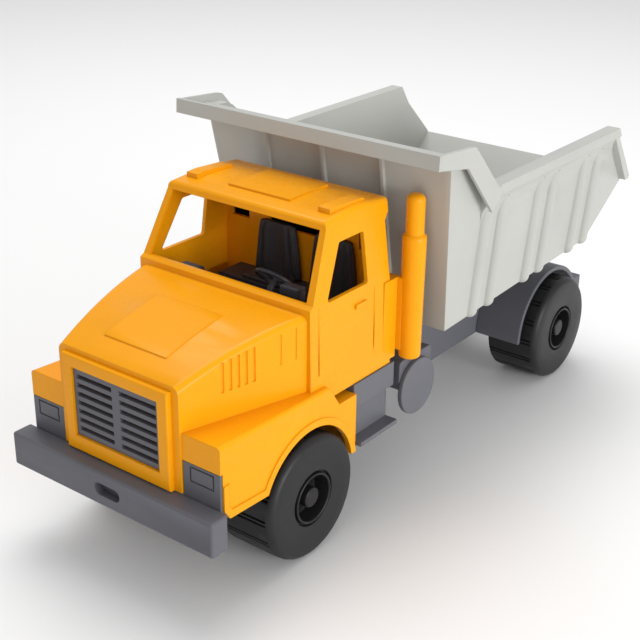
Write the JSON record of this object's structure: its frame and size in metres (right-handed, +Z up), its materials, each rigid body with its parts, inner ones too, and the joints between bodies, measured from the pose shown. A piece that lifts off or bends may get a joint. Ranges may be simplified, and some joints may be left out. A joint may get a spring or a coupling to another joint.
{
  "type": "toy dump truck",
  "caption": "Moulded plastic toy dump truck with a tipping bed, a hooded cab with seat and steering wheel, and freely rolling wheels.",
  "frame": {"origin": "middle of the truck's footprint, on the floor", "axes": "+X to the truck's left, -Y the way it drives, +Z up"},
  "size_m": [0.1778, 0.398, 0.206],
  "materials": {
    "cab_plastic": "glossy moulded orange",
    "bed_plastic": "satin warm light grey",
    "chassis_plastic": "satin dark grey",
    "step_plastic": "satin mid grey",
    "trim_plastic": "satin grey",
    "interior_plastic": "matt dark grey",
    "tyre_plastic": "satin black",
    "wheel_plastic": "satin black",
    "steel": "drawn steel"
  },
  "bodies": {
    "chassis": {"chassis_frame": "chassis_plastic", "front_bumper": "chassis_plastic", "grille": "trim_plastic", "headlight_left": "trim_plastic", "headlight_right": "trim_plastic", "cab_shell": "cab_plastic", "cab_interior": "interior_plastic", "driver_seat": "interior_plastic", "passenger_seat": "interior_plastic", "steering_wheel": "interior_plastic", "exhaust_stack": "cab_plastic", "side_step_left": "step_plastic", "side_step_right": "step_plastic", "air_tank_left": "chassis_plastic", "air_tank_right": "chassis_plastic", "tank_cap_left": "step_plastic", "tank_cap_right": "step_plastic", "rear_mudguard_left": "chassis_plastic", "rear_mudguard_right": "chassis_plastic", "hinge_pin": "steel", "hinge_pin_caps": "chassis_plastic", "cab_screws": "steel"},
    "front_wheelset": {"front_axle": "steel", "tyre_front_left": "tyre_plastic", "tyre_front_right": "tyre_plastic", "wheel_hub_front_left": "wheel_plastic", "wheel_hub_front_right": "wheel_plastic"},
    "rear_wheelset": {"rear_axle": "steel", "tyre_rear_left": "tyre_plastic", "tyre_rear_right": "tyre_plastic", "wheel_hub_rear_left": "wheel_plastic", "wheel_hub_rear_right": "wheel_plastic"},
    "dump_bed": {"dump_body": "bed_plastic"}
  },
  "joints": [
    {"name": "front_wheels_roll", "type": "hinge", "parent": "chassis", "child": "front_wheelset", "pos_m": [0, -0.1178, 0.0348], "axis": [1, 0, 0], "continuous": true},
    {"name": "rear_wheels_roll", "type": "hinge", "parent": "chassis", "child": "rear_wheelset", "pos_m": [0, 0.1529, 0.0348], "axis": [1, 0, 0], "continuous": true},
    {"name": "bed_tip", "type": "hinge", "parent": "chassis", "child": "dump_bed", "pos_m": [0, 0.167, 0.084], "axis": [-1, 0, 0], "range_deg": [0, 55]}
  ]
}
